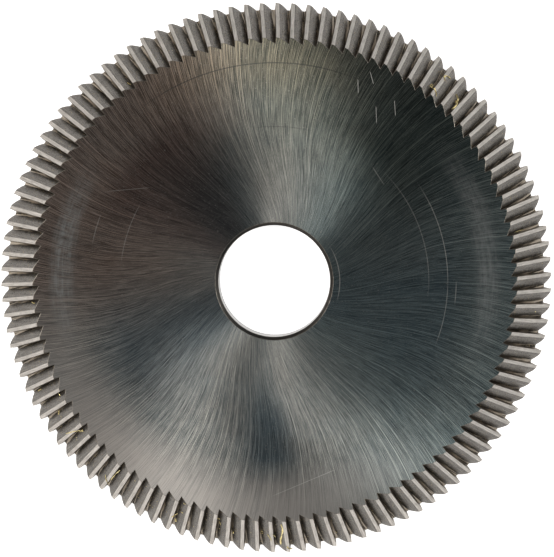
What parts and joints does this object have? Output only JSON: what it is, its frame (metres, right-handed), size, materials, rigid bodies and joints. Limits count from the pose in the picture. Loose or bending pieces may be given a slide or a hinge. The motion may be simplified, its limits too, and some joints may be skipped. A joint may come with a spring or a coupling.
{
  "type": "key machine angle cutter wheel",
  "caption": "Thin ground steel cutter wheel with fine teeth along one bevelled rim, a plain arbor bore and brass chips caught in its gullets.",
  "frame": {"origin": "on the bore axis, in the plane of the flat back face", "axes": "+Z along the bore axis from the flat back face towards the bevelled side, +X through the tip of tooth 0"},
  "size_m": [0.08, 0.08, 0.005],
  "materials": {
    "tool_steel": "surface-ground high speed steel with fine radial grinding lines, darker gullets and bright lands",
    "brass_chips": "fresh cut brass chips, satin"
  },
  "bodies": {
    "root": {"cutter_disc": "tool_steel", "brass_swarf": "brass_chips"}
  },
  "joints": []
}
